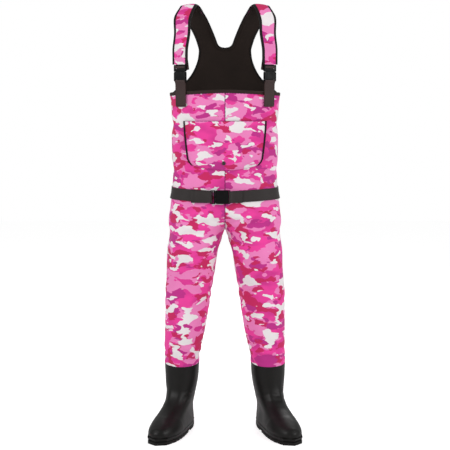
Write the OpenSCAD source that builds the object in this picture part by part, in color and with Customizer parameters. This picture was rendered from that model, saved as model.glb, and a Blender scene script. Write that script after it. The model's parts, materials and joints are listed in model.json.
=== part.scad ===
// Chest waders: a neoprene bib-and-leg suit with moulded rubber boots, a wading belt and braces.
// +Z is up, the wearer faces -Y and the wearer's left is +X.
// The origin is on the floor, below the middle of the whole suit.

/* [Heights] */
// Height of the boots' top rim
boot_h = 224; // [205:1:320]
// Height of the crotch
crotch_h = 661; // [600:1:760]
// Height of the belt's middle at the sides
belt_h = 795; // [770:1:880]
// Height of the bib's top edge at the sides
bib_h = 1110; // [1080:1:1240]
// Height of the highest point of the shoulder straps
shoulder_h = 1407; // [1360:1:1560]

/* [Body] */
// Width of the bib across its top corners
chest_w = 360; // [300:1:460]
// Width across the stomach
waist_w = 341; // [290:1:450]
// Width across the hips
hip_w = 375; // [320:1:480]
// Front-to-back depth of the torso
torso_d = 226; // [190:1:300]
// Width of one leg at the thigh
thigh_w = 167; // [140:1:190]
// Width of one leg just above the boot
calf_w = 115; // [100:1:130]
// Distance between the middles of the two boot shafts
stance_w = 289; // [270:1:330]
// Thickness of the laminated neoprene
neoprene_t = 4.5; // [3:0.1:7]
// Height that the middle of the bib rises above its corners
bib_rise = 8; // [0:1:20]
// Width of the edge binding tape
binding_w = 5; // [3:0.1:8]
// Width of the wider tape along the bib's top edge
bib_tape_w = 10; // [5:0.5:14]
// Width of the tape along each edge of a shoulder strap
strap_tape_w = 7.5; // [3:0.5:12]

/* [Pocket] */
// Width of the hand pocket along its top seam
pocket_w = 258; // [200:1:280]
// Height of the hand pocket
pocket_h = 158; // [110:1:180]
// Height of the pocket's top seam above the floor
pocket_top_h = 1029; // [990:1:1080]
// Room left inside the pocket at its middle
pocket_gap = 12; // [8:1:20]
// How far each slanted hand opening stands open
pocket_mouth = 24; // [14:1:30]
// Diameter of the snap fastener's cap
snap_d = 13; // [10:0.5:17]

/* [Webbing and buckles] */
// Width of the belt and brace webbing
webbing_w = 38; // [25:1:50]
// Thickness of the webbing
webbing_t = 1.8; // [1.2:0.1:3]
// Length of the belt buckle's socket half
belt_socket_l = 48; // [40:1:60]
// Length of the belt buckle's ladder half outside the socket
belt_ladder_l = 18; // [16:1:30]
// Length of a brace buckle's socket half
brace_socket_l = 31; // [28:1:45]
// Length of a brace buckle's ladder half outside the socket
brace_ladder_l = 22; // [18:1:30]
// Thickness of the buckles
buckle_t = 9; // [8:0.5:12]
// Width of the padded shoulder straps
strap_w = 57; // [45:1:70]

/* [Boots] */
// Length of one boot's sole
boot_l = 300; // [270:1:340]
// Width of one boot's forefoot
boot_w = 98; // [85:1:115]
// Angle that each foot turns outwards
splay = 19; // [0:1:30]
// Thickness of the outsole
sole_t = 10; // [8:1:20]
// Height of the foxing strip round the foot
foxing_h = 12; // [8:1:24]
// Thickness of the boots' rubber
rubber_t = 4; // [3:0.1:6]

/* [Hidden] */
$fn = 48;

pink = "#E2479B";
lining = "#241D1B";
webbing_black = "#26221F";
plastic = "#17191A";
rubber = "#1F1C1A";
metal = "#3A3A3C";

// Clearance between soft pieces that lie on each other
seat_gap = 0.3;
// Clearance round a prong's pivot
pivot_gap = 0.08;
// Squareness of the torso's section (2 is an ellipse)
torso_n = 3;
leg_n = 2.15;

// ---- the body's outer shape: height, middle of the half, half width, half depth, squareness
leg_top = crotch_h - boot_h;
hip_h = (crotch_h + belt_h) / 2 - 6;
BODY = [
  [boot_h - 34, stance_w / 2, calf_w / 2 - 7.2, 51.5, leg_n],
  [boot_h - 2, stance_w / 2, calf_w / 2 - 7.2, 51.5, leg_n],
  [boot_h + 0.05 * leg_top, stance_w / 2 - 1, calf_w / 2 + 0.5, 63, leg_n],
  [boot_h + 0.19 * leg_top, stance_w / 2 - 6, calf_w / 2 + 7, 69, leg_n],
  [boot_h + 0.38 * leg_top, stance_w / 2 - 14, calf_w / 2 + 15, 76, leg_n],
  [boot_h + 0.57 * leg_top, stance_w / 2 - 21, thigh_w / 2 - 5, 84, leg_n],
  [boot_h + 0.77 * leg_top, stance_w / 2 - 31, thigh_w / 2, 93, leg_n],
  [boot_h + 0.88 * leg_top, stance_w / 2 - 37, thigh_w / 2 + 4, 98, leg_n],
  [crotch_h - 12, hip_w / 4 + 4, hip_w / 4 - 4, 102, leg_n],
  [crotch_h, hip_w / 4, hip_w / 4, 104, leg_n + 0.05],
  [hip_h - 20, hip_w * 0.2, hip_w * 0.296, 108, leg_n + 0.15],
  [hip_h + 14, hip_w * 0.085, hip_w * 0.4, 111, leg_n + 0.45],
  [belt_h - 28, 0, hip_w / 2 - 9, torso_d / 2 - 1, torso_n - 0.2],
  [belt_h, 0, waist_w / 2 + 5, torso_d / 2 - 2, torso_n],
  [belt_h + 52, 0, waist_w / 2 + 1, torso_d / 2 - 1, torso_n],
  [(belt_h + bib_h) / 2 - 10, 0, waist_w / 2, torso_d / 2 + 1, torso_n],
  [bib_h - 90, 0, waist_w / 2 + 1.5, torso_d / 2 + 2, torso_n],
  [bib_h - 35, 0, chest_w / 2 - 4, torso_d / 2 + 1, torso_n],
  [bib_h, 0, chest_w / 2, torso_d / 2 - 1, torso_n],
  [bib_h + 30, 0, chest_w / 2, torso_d / 2 - 2, torso_n]
];

// ---- the back yoke: height, reach behind, inner edge and outer edge from the middle
yoke_h = shoulder_h - bib_h;
YOKE = [
  [bib_h, torso_d / 2 - 1, 0, chest_w / 2],
  [bib_h + 0.055 * yoke_h, torso_d / 2 - 2, 0, chest_w / 2 - 15],
  [bib_h + 0.125 * yoke_h, torso_d / 2 - 3, 0, chest_w / 2 - 39],
  [bib_h + 0.195 * yoke_h, torso_d / 2 - 4, 0, chest_w / 2 - 61],
  [bib_h + 0.29 * yoke_h, torso_d / 2 - 6, 0, chest_w / 2 - 79],
  [bib_h + 0.39 * yoke_h, torso_d / 2 - 9, 0, chest_w / 2 - 91],
  [bib_h + 0.465 * yoke_h, torso_d / 2 - 12, 0, chest_w / 2 - 95],
  [bib_h + 0.51 * yoke_h, torso_d / 2 - 14, 0, chest_w / 2 - 96],
  [bib_h + 0.526 * yoke_h, torso_d / 2 - 14.7, 0, chest_w / 2 - 95.6],
  [bib_h + 0.533 * yoke_h, torso_d / 2 - 15.1, 13, chest_w / 2 - 95.3],
  [bib_h + 0.545 * yoke_h, torso_d / 2 - 15.8, 21, chest_w / 2 - 94.6],
  [bib_h + 0.573 * yoke_h, torso_d / 2 - 17.8, 29.5, chest_w / 2 - 92],
  [bib_h + 0.655 * yoke_h, torso_d / 2 - 24, 39, chest_w / 2 - 84],
  [bib_h + 0.785 * yoke_h, torso_d / 2 - 44, 55, chest_w / 2 - 67],
  [bib_h + 0.905 * yoke_h, torso_d / 2 - 70, 69, chest_w / 2 - 55],
  [bib_h + 0.98 * yoke_h, 18, 80, chest_w / 2 - 46],
  [shoulder_h, 0, 86, chest_w / 2 - 41],
  [bib_h + 0.98 * yoke_h, -18, 92, chest_w / 2 - 36]
];

// ---- places that the braces' pieces share
strap_end_h = bib_h + 98;
strap_turn = 33;
strap_run = shoulder_h - strap_end_h;
peak_x = (86 + chest_w / 2 - 41) / 2;
brace_x = chest_w / 2 - 40;

// ---- buckle sizes
buckle_w = webbing_w + 6;
wall = 2.3;
slot_w = 4;
bar_low = 2.7;
bar_t = 3.5;
cavity_w = buckle_w - 7;
cavity_t = buckle_t - 4;
prong_t = cavity_t - 0.4;
prong_y = cavity_w / 2 - 5.5;
prong_w = 3.2;
pivot_r = 2.2;
pivot_x = 3.1;
ladder_l = 2 * wall + 2 * slot_w;
belt_mouth_x = -30;
belt_sag = 9;
brace_mouth_h = strap_end_h - brace_ladder_l - 1;

// ---- a boot's outer shape: height, reach forward, reach back, half width
toe_reach = boot_l - 60;
BOOT = [
  [sole_t, toe_reach - 6, 57, boot_w / 2 - 3],
  [26, toe_reach, 60, boot_w / 2],
  [40, toe_reach - 4, 61, boot_w / 2 - 1],
  [52, toe_reach - 18, 61, boot_w / 2 - 4],
  [64, toe_reach - 48, 60, boot_w / 2 - 7],
  [77, toe_reach - 88, 59, boot_w / 2 - 8.5],
  [90, toe_reach - 124, 57, boot_w / 2 - 8],
  [104, toe_reach - 148, 56, boot_w / 2 - 6],
  [121, toe_reach - 164, 56, boot_w / 2 - 3.5],
  [141, toe_reach - 172, 57, boot_w / 2],
  [boot_h - 53, toe_reach - 177, 59, calf_w / 2 - 4],
  [boot_h - 24, toe_reach - 179.5, 60, calf_w / 2 - 1.2],
  [boot_h, toe_reach - 180.5, 60, calf_w / 2 - 0.5]
];

// ---- curves through a table's rows: the row's first value is the place, c picks the column
function row_of(tab, p, i = 0) = i >= len(tab) - 2 || p < tab[i + 1][0] ? i : row_of(tab, p, i + 1);
function lean(tab, i, c) =
  let (a = max(i - 1, 0), b = min(i + 1, len(tab) - 1))
  (tab[b][c] - tab[a][c]) / (tab[b][0] - tab[a][0]);
function along(tab, p, c) =
  let (
    i = row_of(tab, p),
    h = tab[i + 1][0] - tab[i][0],
    s = (p - tab[i][0]) / h,
    a = tab[i][c],
    b = tab[i + 1][c],
    ma = lean(tab, i, c) * h,
    mb = lean(tab, i + 1, c) * h
  )
  a * (2 * s^3 - 3 * s^2 + 1) + ma * (s^3 - 2 * s^2 + s) + b * (3 * s^2 - 2 * s^3) + mb * (s^3 - s^2);
function numbered(tab) = [for (i = [0:len(tab) - 1]) concat([i], tab[i])];
function unit(v) = v / norm(v);
function ease(s) = let (q = min(max(s, 0), 1)) q * q * (3 - 2 * q);

// Distance from a superellipse's middle to its rim, in the direction a
function rim(a, w, d, n) = (abs(cos(a) / w)^n + abs(sin(a) / d)^n)^(-1 / n);
// Depth of a superellipse at the distance x from its middle
function depth_at(x, w, d, n) = d * max(0, 1 - (abs(x) / w)^n)^(1 / n);
// Direction in which the half's front edge is met; the back edge is its negative
function edge_angle(z) =
  let (m = along(BODY, z, 1), w = along(BODY, z, 2), d = along(BODY, z, 3), n = along(BODY, z, 4))
  m >= w ? 180 : atan2(depth_at(m, w, d, n), -m);
function rise(z, a) = bib_rise * ease((z - bib_h + 110) / 110) * max(0, sin(a))^2;
// A point of the left half's skin: a runs from the back edge (-) by the side (0) to the front (+)
function skin(z, a, off) =
  let (
    m = max(0, along(BODY, z, 1)),
    w = along(BODY, z, 2) + off,
    d = along(BODY, z, 3) + off,
    r = rim(a, w, d, along(BODY, z, 4))
  )
  [abs(abs(a) - 90) < 0.001 && m < 0.001 ? 0 : m + r * cos(a), -r * sin(a), z + rise(z, a)];

// ---- a closed solid between two grids of points; rows run along T, columns along W, outer is T x W
module slab(outer, inner, loop = false) {
  m = len(outer);
  n = len(outer[0]);
  cols = loop ? n : n - 1;
  function o(i, j) = i * n + j % n;
  function k(i, j) = m * n + i * n + j % n;
  sides = [for (i = [0:m - 2], j = [0:cols - 1]) each [
    [o(i, j), o(i, j + 1), o(i + 1, j + 1)],
    [o(i, j), o(i + 1, j + 1), o(i + 1, j)],
    [k(i, j), k(i + 1, j + 1), k(i, j + 1)],
    [k(i, j), k(i + 1, j), k(i + 1, j + 1)]
  ]];
  ends = [for (j = [0:cols - 1]) each [
    [o(0, j), k(0, j), k(0, j + 1)],
    [o(0, j), k(0, j + 1), o(0, j + 1)],
    [o(m - 1, j), k(m - 1, j + 1), k(m - 1, j)],
    [o(m - 1, j), o(m - 1, j + 1), k(m - 1, j + 1)]
  ]];
  edges = loop ? [] : [for (i = [0:m - 2]) each [
    [o(i, 0), k(i + 1, 0), k(i, 0)],
    [o(i, 0), o(i + 1, 0), k(i + 1, 0)],
    [o(i, n - 1), k(i, n - 1), k(i + 1, n - 1)],
    [o(i, n - 1), k(i + 1, n - 1), o(i + 1, n - 1)]
  ]];
  polyhedron(points = concat([for (r = outer) each r], [for (r = inner) each r]),
    faces = concat(sides, ends, edges));
}

// ---- a flat strip swept along points P with side directions S, from w0 to w1 and h0 to h1
function heading(P, i) = unit(P[min(i + 1, len(P) - 1)] - P[max(i - 1, 0)]);
function facing(P, S, i) = unit(cross(heading(P, i), S[i]));
function strip_row(P, S, i, w0, w1, h) = [P[i] + S[i] * w0 + facing(P, S, i) * h, P[i] + S[i] * w1 + facing(P, S, i) * h];
module strip(P, S, w0, w1, h0, h1) {
  slab([for (i = [0:len(P) - 1]) strip_row(P, S, i, w0[i], w1[i], h1)],
    [for (i = [0:len(P) - 1]) strip_row(P, S, i, w0[i], w1[i], h0)]);
}

module suit_frame() translate([0, y_shift, 0]) children();
module right_side() mirror([1, 0, 0]) children();
module both_sides() {
  children();
  right_side() children();
}

// ---- body panels
body_rows = 40;
panel_cols = 11;
body_low = boot_h - 24;
function row_z(i, low, high, count) = low + (high - low) * i / count;
module body_panel(front) {
  function a_at(z, j) = (front ? 1 : -1) * edge_angle(z) * (front ? j : panel_cols - j) / panel_cols;
  function grid(off) = [for (i = [0:body_rows])
    let (z = row_z(i, body_low, bib_h, body_rows))
    [for (j = [0:panel_cols]) skin(z, a_at(z, j), off)]];
  suit_frame() slab(grid(0), grid(-neoprene_t));
}
module front_panel_left() color(pink) body_panel(true);
module front_panel_right() color(pink) right_side() body_panel(true);
module back_panel_left() color(pink) body_panel(false);
module back_panel_right() color(pink) right_side() body_panel(false);

// ---- seam tapes inside the torso, over the front and back seams
tape_w = 22;
tape_t = 0.6;
module seam_tape(sign) {
  low = belt_h - 20;
  high = bib_h - 2;
  function a_of(z, x, off) =
    let (w = along(BODY, z, 2) + off, d = along(BODY, z, 3) + off)
    atan2(depth_at(x, w, d, along(BODY, z, 4)), x);
  function row(z, off) = [for (x = [0, tape_w / 4, tape_w / 2])
    skin(z, sign * a_of(z, x, off), off)];
  function grid(off) = [for (i = [0:16]) row(row_z(i, low, high, 16), off)];
  face = -neoprene_t - 0.5;
  if (sign > 0) suit_frame() both_sides() mirror([1, 0, 0]) slab(grid(face), grid(face - tape_t));
  else suit_frame() both_sides() slab(grid(face), grid(face - tape_t));
}
module front_seam_tape() color(lining) seam_tape(1);
module back_seam_tape() color(lining) seam_tape(-1);

// ---- back yoke with its two arms up to the shoulders
yoke_rows = 34;
yoke_cols = 9;
YOKE_N = numbered(YOKE);
function yoke_at(i, c) = along(YOKE_N, i * (len(YOKE) - 2) / yoke_rows, c);
function yoke_angle(i, x) =
  let (w = chest_w / 2, d = max(yoke_at(i, 2), 0.5))
  atan2(depth_at(x, w, d, torso_n), x);
function yoke_point(i, x, off) =
  let (
    w = chest_w / 2,
    z = yoke_at(i, 1),
    d = yoke_at(i, 2),
    lift = ease((z - bib_h - 0.6 * yoke_h) / (0.4 * yoke_h)),
    a = x >= w - 0.01 ? 0 : yoke_angle(i, x),
    back = x >= w - 0.01 ? 0 : depth_at(x, w, d, torso_n),
    out = off * [cos(a) * (1 - lift), (x >= w - 0.01 ? 0 : sin(a)) * (1 - lift), lift]
  )
  [x < 0.001 ? 0 : x, back, z] + [x < 0.001 ? 0 : out[0], out[1], out[2]];
function yoke_inner(i) = max(0, yoke_at(i, 3));
function yoke_outer(i) = yoke_at(i, 4);
function yoke_x(i, j) =
  let (
    a0 = yoke_angle(i, yoke_inner(i)),
    a1 = yoke_angle(i, yoke_outer(i)),
    w = chest_w / 2,
    d = max(yoke_at(i, 2), 0.5),
    a = a0 + (a1 - a0) * j / yoke_cols
  )
  d < 30 ? yoke_inner(i) + (yoke_outer(i) - yoke_inner(i)) * j / yoke_cols
    : rim(a, w, d, torso_n) * cos(a) * (yoke_inner(i) < 0.001 && j == 0 ? 0 : 1);
module back_yoke() {
  function grid(off) = [for (i = [0:yoke_rows]) [for (j = [0:yoke_cols]) yoke_point(i, yoke_x(i, j), off)]];
  suit_frame() slab(grid(0), grid(-neoprene_t));
}
module back_yoke_left() color(pink) back_yoke();
module back_yoke_right() color(pink) right_side() back_yoke();

// ---- edge bindings: a closed tape that caps a panel's edge
module cap_tape(edge, inward, normals) {
  t = neoprene_t / 2 + 0.7;
  function corner(i, s, h) = edge[i] - inward[i] * (0.25 + s * binding_w) + normals[i] * h;
  function row(i, h) = [corner(i, 0, h), corner(i, 1, h)];
  slab([for (i = [0:len(edge) - 1]) row(i, t)], [for (i = [0:len(edge) - 1]) row(i, -t)]);
}
module bib_binding() {
  function grid(off) = [for (z = [0, bib_tape_w])
    [for (j = [0:panel_cols]) skin(bib_h, 90 * j / panel_cols, off) + [0, 0, z]]];
  color(lining) suit_frame() both_sides() slab(grid(0.7), grid(-neoprene_t - 0.7));
}
function yoke_edge(i, outer) = yoke_point(i, outer ? yoke_outer(i) : yoke_inner(i), -neoprene_t / 2);
function yoke_normal(i, outer) =
  let (x = outer ? yoke_outer(i) : yoke_inner(i))
  unit(yoke_point(i, x, 1) - yoke_point(i, x, -1));
// Last row below the neckline, where the two halves still meet in the middle
neck_row = [for (i = [1:yoke_rows]) if (yoke_inner(i) > 0.5) i][0] - 1;
module yoke_binding(outer, first) {
  rows = [first:yoke_rows];
  edge = [for (i = rows) yoke_edge(i, outer)];
  normals = [for (i = rows) yoke_normal(i, outer)];
  inward = [for (i = [0:len(edge) - 1]) unit(cross(heading(edge, i), normals[i])) * (outer ? 1 : -1)];
  cap_tape(edge, inward, normals);
}
module armhole_binding_left() color(lining) suit_frame() yoke_binding(true, 1);
module armhole_binding_right() color(lining) right_side() suit_frame() yoke_binding(true, 1);
module neckline_binding() color(lining) suit_frame() both_sides() yoke_binding(false, neck_row);

// ---- chest pocket: a pouch whose upper and lower edges are sewn down and whose ends stay open
pocket_low_h = pocket_top_h - pocket_h;
pocket_rows = 12;
pocket_half_cols = 10;
function pocket_half(v) = pocket_w / 2 - 15 * (1 - v)^1.2 - 10 * max(0, 0.12 - v) / 0.12;
function pocket_z(u, v) = pocket_low_h + pocket_h * v + (1 - v)^2 * 16 * abs(u)^2;
function pouch(v) = sin(180 * min(max(v, 0), 1))^0.6;
function pocket_x(u, v) = u * pocket_half(v);
function body_y(x, z, off) =
  depth_at(x, along(BODY, z, 2) + off, along(BODY, z, 3) + off, along(BODY, z, 4));
function pocket_point(u, v, off) =
  let (
    x = pocket_x(u, v),
    z = pocket_z(u, v),
    open = pocket_gap + (pocket_mouth - pocket_gap) * abs(u)^2.5
  )
  [x, -body_y(x, z, seat_gap) - open * pouch(v) - off, z];
module chest_pocket() {
  function grid(off) = [for (i = [0:pocket_rows]) [for (j = [0:2 * pocket_half_cols])
    pocket_point(1 - j / pocket_half_cols, i / pocket_rows, off)]];
  color(pink) suit_frame() slab(grid(neoprene_t), grid(0));
}
module pocket_binding() {
  function edge(i, out, off) = pocket_point(1, i / pocket_rows, off) + [out, 0, 0];
  rows = [0:pocket_rows];
  slab([for (i = rows) [edge(i, 5, neoprene_t + 0.7), edge(i, 0.02, neoprene_t + 0.7)]],
    [for (i = rows) [edge(i, 5, -0.7), edge(i, 0.02, -0.7)]]);
}
module pocket_binding_left() color(lining) suit_frame() pocket_binding();
module pocket_binding_right() color(lining) right_side() suit_frame() pocket_binding();

// ---- snap fastener at the pocket's lower middle: cap outside, socket behind it, stud on the bib
snap_x = -4;
snap_v = 0.15;
snap_z = pocket_z(0, snap_v);
snap_back = -pocket_point(0, snap_v, 0)[1];
module at_snap(reach) suit_frame() translate([snap_x, -reach, snap_z]) rotate([90, 0, 0]) children();
module snap_cap() color(metal) at_snap(snap_back + neoprene_t + seat_gap + 0.2)
  rotate_extrude() polygon(concat([[0, 0]], [for (a = [0:15:90]) [snap_d / 2 * cos(a), 1 + 1.8 * sin(a)]],
    [[0, 0]]));
module snap_socket() color(metal) at_snap(snap_back - 3.6 - 1.7) difference() {
  cylinder(d = snap_d, h = 3.6);
  translate([0, 0, -1]) cylinder(d = snap_d * 0.5, h = 3.4);
}
module snap_stud() color(metal) at_snap(body_y(0, snap_z, 0) + 0.2) {
  cylinder(d = snap_d - 1, h = 1.4);
  cylinder(d = snap_d * 0.44, h = snap_back - body_y(0, snap_z, 0) - 3.4);
}

// ---- side-release buckles, lying along X with the socket's mouth at the origin, face towards +Z
function rounded(x0, x1, w, r) = [for (c = [[x1 - r, w / 2 - r, 0], [x0 + r, w / 2 - r, 90],
  [x0 + r, r - w / 2, 180], [x1 - r, r - w / 2, 270]]) for (a = [0:18:90])
  [c[0] + r * cos(c[2] + a), c[1] + r * sin(c[2] + a)]];
module plate(x0, x1, w, r, z0, z1) translate([0, 0, z0]) linear_extrude(z1 - z0) polygon(rounded(x0, x1, w, r));
// Thins a webbing bar so that the webbing lies inside the buckle's thickness
module bar_relief(x0, x1) for (z = [[-1, bar_low], [bar_low + bar_t, buckle_t + 1]])
  translate([x0, -webbing_w / 2 - 0.5, z[0]]) cube([x1 - x0, webbing_w + 1, z[1] - z[0]]);
module webbing_slot(x0) translate([x0, -webbing_w / 2 - 0.5, -1]) cube([slot_w, webbing_w + 1, buckle_t + 2]);
module buckle_socket(l) {
  closed = -l + slot_w + 2 * wall;
  window = (l - slot_w - 2 * wall) * 0.42;
  difference() {
    plate(-l, 0, buckle_w, 4, 0, buckle_t);
    translate([closed, -cavity_w / 2, 2]) cube([l, cavity_w, cavity_t]);
    translate([closed, -buckle_w / 2 - 1, 2]) cube([window, buckle_w + 2, cavity_t]);
    webbing_slot(-l + wall);
    bar_relief(-l - 1, -l + wall + 0.01);
    for (s = [-1, 1]) translate([-1, s * 9 - 3, buckle_t - 0.8]) cube([2, 6, 2]);
  }
}
module buckle_ladder(l, prong_l) {
  collar = l - ladder_l;
  difference() {
    plate(0.3, l, buckle_w, 3, 0, buckle_t);
    for (x = [collar, collar + slot_w + wall]) webbing_slot(x);
    bar_relief(collar + slot_w - 0.01, collar + slot_w + wall + 0.01);
    bar_relief(l - wall - 0.01, l + 1);
    for (s = [-1, 1]) translate([pivot_x, s * prong_y, 2]) {
      cylinder(r = pivot_r + pivot_gap, h = cavity_t);
      translate([-5, -prong_w / 2 - 0.5, 0]) cube([5, prong_w + 1, cavity_t]);
    }
  }
  translate([-prong_l + 5, -4, 3]) cube([prong_l - 4.7, 8, buckle_t - 6]);
}
module buckle_prong(prong_l, s) {
  translate([pivot_x, s * prong_y, 2.2]) cylinder(r = pivot_r, h = prong_t);
  translate([-prong_l, s * prong_y - prong_w / 2, 2.2]) cube([prong_l + pivot_x, prong_w, prong_t]);
  translate([0, 0, 2.2]) linear_extrude(prong_t) polygon([
    for (p = [[-prong_l, 1], [-prong_l + 2, 4.6], [-prong_l + 5, 5.3], [-prong_l * 0.62, 5.3],
    [-prong_l * 0.45, 1]]) [p[0], s * (prong_y + p[1])]]);
}
belt_prong_l = belt_socket_l - slot_w - 2 * wall - 2;
brace_prong_l = brace_socket_l - slot_w - 2 * wall - 2;

// ---- webbing seen edge on: a band of thickness t along a path of points
function side_of(P, i) =
  let (d = unit(P[min(i + 1, len(P) - 1)] - P[max(i - 1, 0)]))
  [-d[1], d[0]];
function mitre(P, i) =
  i == 0 || i == len(P) - 1 ? 1 :
  let (a = unit(P[i] - P[i - 1]), b = unit(P[i + 1] - P[i]))
  1 / max(0.45, sqrt((1 + a * b) / 2));
function band(P, t) = concat(
  [for (i = [0:len(P) - 1]) P[i] + side_of(P, i) * mitre(P, i) * t / 2],
  [for (i = [len(P) - 1:-1:0]) P[i] - side_of(P, i) * mitre(P, i) * t / 2]);
module webbing(P) translate([0, webbing_w / 2, 0]) rotate([90, 0, 0]) linear_extrude(webbing_w)
  polygon(band(P, webbing_t));

// ---- belt: its band follows the waist from the socket round the back to the ladder
belt_off = 0.8;
belt_plane = belt_off + webbing_t + 0.5;
belt_front_h = belt_h - belt_sag;
function belt_mid(a) = belt_h - belt_sag * max(0, sin(a))^2 - 3 * max(0, -sin(a))^2;
function belt_angle(x) = atan2(body_y(x, belt_front_h, belt_off), x);
module belt_half(end_x) {
  a1 = belt_angle(end_x);
  angles = concat([for (j = [-panel_cols:panel_cols]) if (90 * j / panel_cols < a1 - 1) 90 * j / panel_cols], [a1]);
  function grid(off) = [for (i = [0:4]) [for (a = angles)
    skin(belt_mid(a) + webbing_w * (i / 4 - 0.5), a, off)]];
  slab(grid(belt_off + webbing_t), grid(belt_off));
}
belt_left_x = belt_mouth_x + belt_socket_l + 4;
belt_right_x = -belt_mouth_x + belt_ladder_l - 4;
module belt_webbing() color(webbing_black) suit_frame() {
  belt_half(belt_left_x);
  right_side() belt_half(belt_right_x);
}
module at_belt() suit_frame()
  translate([belt_mouth_x, -body_y(0, belt_front_h, belt_plane), belt_front_h])
    rotate([0, 180, 0]) rotate([90, 0, 0]) children();
// Height above the buckle's back plane of webbing laid on the belt, at the distance q past the mouth
function on_belt(q) = body_y(belt_mouth_x - q, belt_front_h, belt_plane) - body_y(0, belt_front_h, belt_plane);
module belt_strap_end() color(webbing_black) at_belt() {
  l = belt_ladder_l;
  lie = webbing_t / 2 + 0.25;
  webbing(concat(
    [for (q = [62:-12:14]) [l + q, on_belt(l + q) + lie]],
    [[l + 3, 1.2], [l - wall - 1.8, 1.5], [l - wall - 2, 7.3], [l + 1, 7.3], [l + 7, 3.7]],
    [for (q = [14:12:50]) [l + q, on_belt(l + q) + lie + webbing_t + 0.2]]));
}
module belt_socket() color(plastic) at_belt() buckle_socket(belt_socket_l);
module belt_ladder() color(plastic) at_belt() buckle_ladder(belt_ladder_l, belt_prong_l);
module belt_prong_upper() color(plastic) at_belt() buckle_prong(belt_prong_l, -1);
module belt_prong_lower() color(plastic) at_belt() buckle_prong(belt_prong_l, 1);
module belt_socket_loop() color(webbing_black) at_belt() {
  l = belt_socket_l;
  lie = webbing_t / 2 + 0.25;
  webbing(concat(
    [for (q = [38:-12:14]) [-l - q, on_belt(-l - q) + lie]],
    [[-l - 3, 1.2], [-l + wall + 1.8, 1.5], [-l + wall + 2, 7.3], [-l - 1, 7.3], [-l - 7, 3.7]],
    [for (q = [14:12:38]) [-l - q, on_belt(-l - q) + lie + webbing_t + 0.2]]));
}
module belt_keeper(a0, a1) {
  half = webbing_w / 2;
  heights = [-half - 9, -half - 3, -half - 0.6, 0, half + 0.6, half + 3, half + 9];
  function off(z) = abs(z) < half + 1 ? belt_off + webbing_t + seat_gap + 0.15 : belt_off;
  function grid(extra) = [for (z = heights)
    [for (a = [a0, (a0 + a1) / 2, a1]) skin(belt_mid((a0 + a1) / 2) + z, a, off(z) + extra)]];
  slab(grid(webbing_t), grid(0));
}
module belt_loop_middle() color(webbing_black) suit_frame() both_sides() belt_keeper(-90, -87);
module belt_loop_left() color(webbing_black) suit_frame() belt_keeper(-31, -25);
module belt_loop_right() color(webbing_black) suit_frame() right_side() belt_keeper(-31, -25);

// ---- shoulder straps: padded neoprene from the shoulder's top down to the brace webbing
brace_skin_y = body_y(brace_x, bib_h, 0);
pad_t = 5;
edge_w = strap_tape_w;
pad_mid = 4.5;
brace_normal = [sin(strap_turn), -cos(strap_turn)];
strap_foot = [brace_x, -brace_skin_y] + brace_normal * (0.8 + pad_mid);
strap_top = shoulder_h - neoprene_t / 2;
STRAP = [
  [peak_x - 3, 17, strap_top - 0.03 * strap_run, -3, 26.5],
  [peak_x, -2 * seat_gap, strap_top, 0, 26.5],
  [peak_x + 4, -18, strap_top - 0.03 * strap_run, 3, 27],
  [peak_x + 13, -35, strap_top - 0.12 * strap_run, 8, strap_w / 2],
  [peak_x + 22, -51, strap_top - 0.28 * strap_run, 17, strap_w / 2],
  [brace_x - 3, -69, strap_top - 0.5 * strap_run, 26, strap_w / 2],
  [strap_foot[0] - 0.5, strap_foot[1] + 6, strap_top - 0.72 * strap_run, 31, strap_w / 2],
  [strap_foot[0], strap_foot[1] + 0.2, strap_end_h + 27, strap_turn, strap_w / 2],
  [strap_foot[0], strap_foot[1], strap_end_h, strap_turn, strap_w / 2]
];
STRAP_N = numbered(STRAP);
strap_rows = 26;
function strap_at(i, c) = along(STRAP_N, 1 + i * (len(STRAP) - 2) / strap_rows, c);
function strap_mid(i) = [strap_at(i, 1), strap_at(i, 2), strap_at(i, 3)];
function strap_side(i) = let (q = strap_at(i, 4)) [cos(q), sin(q), 0];
strap_line = [for (i = [0:strap_rows]) strap_mid(i)];
strap_sides = [for (i = [0:strap_rows]) strap_side(i)];
function widths(f, extra = 0) = [for (i = [0:strap_rows]) f * strap_at(i, 5) + extra];
module shoulder_strap_left() color(pink) suit_frame()
  strip(strap_line, strap_sides, widths(-1, edge_w + 0.1), widths(1, -edge_w - 0.1), -pad_t / 2, pad_t / 2);
module shoulder_strap_right() color(pink) right_side() suit_frame()
  strip(strap_line, strap_sides, widths(-1, edge_w + 0.1), widths(1, -edge_w - 0.1), -pad_t / 2, pad_t / 2);
module strap_binding() {
  h = pad_t / 2 + 0.5;
  strip(strap_line, strap_sides, widths(-1), widths(-1, edge_w), -h, h);
  strip(strap_line, strap_sides, widths(1, -edge_w), widths(1), -h, h);
}
module strap_binding_left() color(lining) suit_frame() strap_binding();
module strap_binding_right() color(lining) right_side() suit_frame() strap_binding();

// ---- brace hardware, in the buckle's own frame: X up, face outwards
module at_brace() suit_frame()
  translate([brace_x + 0.8 * brace_normal[0], -brace_skin_y + 0.8 * brace_normal[1], brace_mouth_h])
    rotate([0, 0, strap_turn + 90]) rotate([0, -90, 0]) children();
module brace_socket() color(plastic) at_brace() buckle_socket(brace_socket_l);
module brace_ladder() color(plastic) at_brace() buckle_ladder(brace_ladder_l, brace_prong_l);
module brace_prong(s) color(plastic) at_brace() buckle_prong(brace_prong_l, s);
module brace_anchor() color(webbing_black) at_brace() {
  l = brace_socket_l;
  webbing([[bib_h - brace_mouth_h - 36, 0.7], [bib_h - brace_mouth_h - 6, 1.3], [-l - 3, 1.4],
    [-l + wall + 1.8, 1.5], [-l + wall + 2, 7.3], [-l - 1, 7.3], [-l - 8, 4.6],
    [bib_h - brace_mouth_h - 6, 3.4], [bib_h - brace_mouth_h - 32, 2.8]]);
}
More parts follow.
